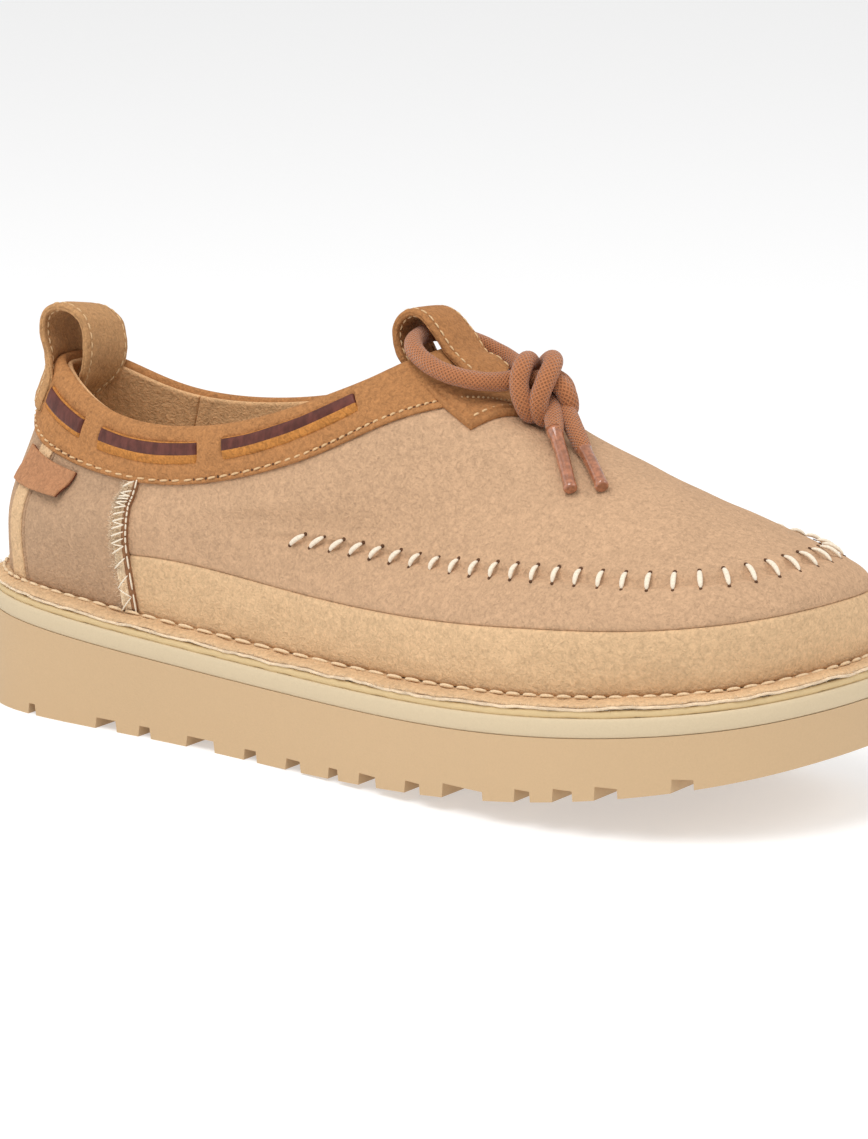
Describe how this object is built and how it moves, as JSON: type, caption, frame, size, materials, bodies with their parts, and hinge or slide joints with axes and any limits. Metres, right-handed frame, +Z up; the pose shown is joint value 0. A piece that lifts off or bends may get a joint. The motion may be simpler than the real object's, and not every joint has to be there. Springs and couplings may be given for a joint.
{
  "type": "moccasin",
  "caption": "Right slip-on moccasin with a suede upper, laced collar, heel and tongue loops, a knotted cord and a foam platform sole.",
  "frame": {"origin": "centre of the object's box (without the cord) on the floor plane", "axes": "+X from heel to toe, -Y to the lateral side, +Z up"},
  "size_m": [0.3002, 0.106, 0.1358],
  "materials": {
    "outsole_foam": "matte moulded foam",
    "midsole_foam": "matte foam",
    "board": "fibre board",
    "foxing_suede": "pale suede",
    "vamp_suede": "suede",
    "quarter_suede": "suede",
    "collar_suede": "tan suede",
    "loop_suede": "suede",
    "patch_suede": "suede",
    "lace_leather": "waxed top, suede edge",
    "fleece": "short wool pile",
    "stiffener": "board",
    "thread": "waxed thread",
    "foam": "open-cell foam",
    "cord": "braided",
    "aglet": "clear sleeve over cord"
  },
  "bodies": {
    "shoe": {"outsole": "outsole_foam", "midsole": "midsole_foam", "insole_board": "board", "welt_flange": "foxing_suede", "footbed": "foam", "footbed_fleece": "fleece", "heel_strip": "quarter_suede", "lateral_quarter": "quarter_suede", "medial_quarter": "quarter_suede", "vamp": "vamp_suede", "foxing": "foxing_suede", "lateral_side_seam": "fleece", "medial_side_seam": "fleece", "heel_lining": "fleece", "lateral_lining": "fleece", "forefoot_lining": "fleece", "medial_lining": "fleece", "heel_counter": "stiffener", "collar_band": "collar_suede", "whip_lace": "lace_leather", "apron_stitches": "thread", "welt_stitches": "thread", "collar_stitches": "thread", "heel_loop_tabs": "loop_suede", "tongue_patch": "patch_suede"},
    "pull_loop": {"heel_loop": "loop_suede"},
    "tongue_tab": {"tongue_loop": "patch_suede"},
    "label": {"label_tab": "patch_suede"},
    "cord": {"cord_loop": "cord", "cord_knot": "cord", "cord_tail_lateral": "cord", "cord_tail_medial": "cord", "aglet_lateral": "aglet", "aglet_medial": "aglet"}
  },
  "joints": [
    {"name": "pull_loop_swing", "type": "hinge", "parent": "shoe", "child": "pull_loop", "pos_m": [-0.124, 0.003, 0.1065], "axis": [0, -1, 0], "range_deg": [-12, 12], "stiffness_Nm_per_rad": 0.02},
    {"name": "tongue_tab_swing", "type": "hinge", "parent": "shoe", "child": "tongue_tab", "pos_m": [0.018, 0.003, 0.1195], "axis": [0, -1, 0], "range_deg": [0, 8], "stiffness_Nm_per_rad": 0.05},
    {"name": "label_flap", "type": "hinge", "parent": "shoe", "child": "label", "pos_m": [-0.1186, -0.0175, 0.0785], "axis": [-0.9321, 0.3364, 0.1342], "range_deg": [0, 35], "stiffness_Nm_per_rad": 0.005},
    {"name": "cord_lift", "type": "hinge", "parent": "tongue_tab", "child": "cord", "pos_m": [0.0046, 0.003, 0.1262], "axis": [0, -1, 0], "range_deg": [0, 100]}
  ]
}
